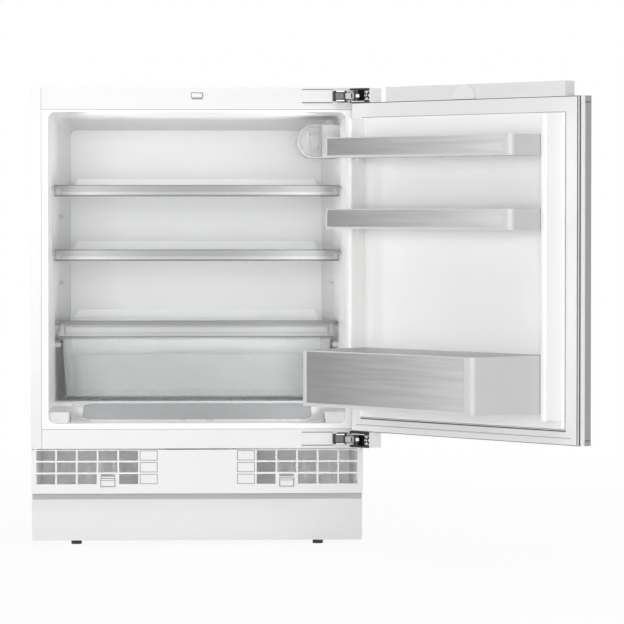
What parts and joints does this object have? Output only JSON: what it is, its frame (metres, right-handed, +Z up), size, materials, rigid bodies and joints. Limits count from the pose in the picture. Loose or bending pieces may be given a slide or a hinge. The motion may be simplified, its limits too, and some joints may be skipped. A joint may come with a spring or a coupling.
{
  "type": "built-in refrigerator",
  "caption": "Under-counter built-in refrigerator with an open door on flat hinges, door bins, glass shelves, a clear drawer and a vented plinth.",
  "frame": {"origin": "on the floor, middle of the width, in the plane of the cabinet front", "axes": "+X to the right seen from the front, +Y into the niche, +Z up"},
  "size_m": [0.9581, 1.0242, 0.825],
  "materials": {
    "white_enamel": "gloss",
    "zinc_sheet": "satin",
    "white_plastic": "satin",
    "liner_white": "gloss",
    "foam": "matte",
    "bare_aluminium": "satin",
    "grey_plastic": "matte",
    "shelf_glass": "clear",
    "trim_white": "satin",
    "lamp_clear": "frosted",
    "lamp_white": "satin",
    "hinge_dark": "satin",
    "steel_pin": "polished",
    "black_paint": "satin",
    "black_rubber": "matte",
    "black_plastic": "matte",
    "seal_white": "matte",
    "edge_grey": "satin",
    "drawer_clear": "clear",
    "bin_white": "gloss",
    "brushed_front": "brushed"
  },
  "bodies": {
    "cabinet": {"outer_shell": "white_enamel", "rear_panel": "zinc_sheet", "bottom_plate": "zinc_sheet", "top_fascia": "white_plastic", "bottom_fascia": "white_plastic", "inner_liner": "liner_white", "insulation": "foam", "evaporator_plate": "bare_aluminium", "drain_tube": "grey_plastic", "switch_housing": "grey_plastic", "crisper_shelf_glass": "shelf_glass", "crisper_shelf_trims": "trim_white", "floor_tray": "grey_plastic", "lamp_housing": "white_plastic", "lamp_cover": "lamp_clear", "lamp_module": "lamp_white", "hinge_arms": "hinge_dark", "hinge_pins": "steel_pin", "hinge_covers": "white_plastic", "base_frame": "zinc_sheet", "plinth_grille": "white_plastic", "toe_kick": "white_enamel", "compressor": "black_paint", "compressor_grommets": "black_rubber", "terminal_box": "black_plastic", "drip_tray": "black_plastic", "condenser": "black_paint", "fan_shroud": "black_plastic"},
    "door": {"door_gasket": "seal_white", "door_frame": "white_plastic", "door_skin": "edge_grey", "door_insulation": "foam", "door_liner": "liner_white", "panel_rail": "white_enamel", "switch_tab": "white_plastic", "hinge_leaves": "hinge_dark"},
    "upper_bin": {"upper_bin_tray": "bin_white", "upper_bin_front": "brushed_front"},
    "middle_bin": {"middle_bin_tray": "bin_white", "middle_bin_front": "brushed_front"},
    "bottom_bin": {"bottom_bin_tray": "bin_white", "bottom_bin_front": "brushed_front"},
    "upper_shelf": {"upper_shelf_glass": "shelf_glass", "upper_shelf_trims": "trim_white"},
    "lower_shelf": {"lower_shelf_glass": "shelf_glass", "lower_shelf_trims": "trim_white"},
    "drawer": {"crisper_drawer": "drawer_clear"},
    "button": {"switch_button": "white_plastic"},
    "knob": {"thermostat_knob": "grey_plastic"},
    "latch_left": {"grille_latch_left": "white_plastic"},
    "latch_right": {"grille_latch_right": "white_plastic"},
    "fan": {"fan_rotor": "black_plastic"},
    "front_left_foot": {"foot_front_left": "black_plastic"},
    "front_right_foot": {"foot_front_right": "black_plastic"},
    "rear_left_foot": {"foot_rear_left": "black_plastic"},
    "rear_right_foot": {"foot_rear_right": "black_plastic"}
  },
  "joints": [
    {"name": "door_swing", "type": "hinge", "parent": "cabinet", "child": "door", "pos_m": [0.287, -0.0225, 0.503], "axis": [0, 0, 1], "range_deg": [-130, 0]},
    {"name": "drawer_slide", "type": "slide", "parent": "cabinet", "child": "drawer", "axis": [0, -1, 0], "range_m": [0, 0.18]},
    {"name": "upper_shelf_slide", "type": "slide", "parent": "cabinet", "child": "upper_shelf", "axis": [0, -1, 0], "range_m": [0, 0.1]},
    {"name": "lower_shelf_slide", "type": "slide", "parent": "cabinet", "child": "lower_shelf", "axis": [0, -1, 0], "range_m": [0, 0.1]},
    {"name": "switch_press", "type": "slide", "parent": "cabinet", "child": "button", "axis": [0, 1, 0], "range_m": [0, 0.004], "stiffness_N_per_m": 200, "springref_m": -0.002},
    {"name": "thermostat_turn", "type": "hinge", "parent": "cabinet", "child": "knob", "pos_m": [0.246, 0.15, 0.7315], "axis": [0, 1, 0], "range_deg": [0, 270]},
    {"name": "latch_left_slide", "type": "slide", "parent": "cabinet", "child": "latch_left", "axis": [0, 0, 1], "range_m": [0, 0.006]},
    {"name": "latch_right_slide", "type": "slide", "parent": "cabinet", "child": "latch_right", "axis": [0, 0, 1], "range_m": [0, 0.006]},
    {"name": "fan_spin", "type": "hinge", "parent": "cabinet", "child": "fan", "pos_m": [0, 0.10535, 0.089], "axis": [0, 1, 0], "continuous": true},
    {"name": "upper_bin_lift", "type": "slide", "parent": "door", "child": "upper_bin", "axis": [0, 0, 1], "range_m": [0, 0.03]},
    {"name": "middle_bin_lift", "type": "slide", "parent": "door", "child": "middle_bin", "axis": [0, 0, 1], "range_m": [0, 0.03]},
    {"name": "bottom_bin_lift", "type": "slide", "parent": "door", "child": "bottom_bin", "axis": [0, 0, 1], "range_m": [0, 0.03]},
    {"name": "foot_front_left_screw", "type": "slide", "parent": "cabinet", "child": "front_left_foot", "axis": [0, 0, -1], "range_m": [0, 0.03]},
    {"name": "foot_front_right_screw", "type": "slide", "parent": "cabinet", "child": "front_right_foot", "axis": [0, 0, -1], "range_m": [0, 0.03]},
    {"name": "foot_rear_left_screw", "type": "slide", "parent": "cabinet", "child": "rear_left_foot", "axis": [0, 0, -1], "range_m": [0, 0.03]},
    {"name": "foot_rear_right_screw", "type": "slide", "parent": "cabinet", "child": "rear_right_foot", "axis": [0, 0, -1], "range_m": [0, 0.03]}
  ]
}
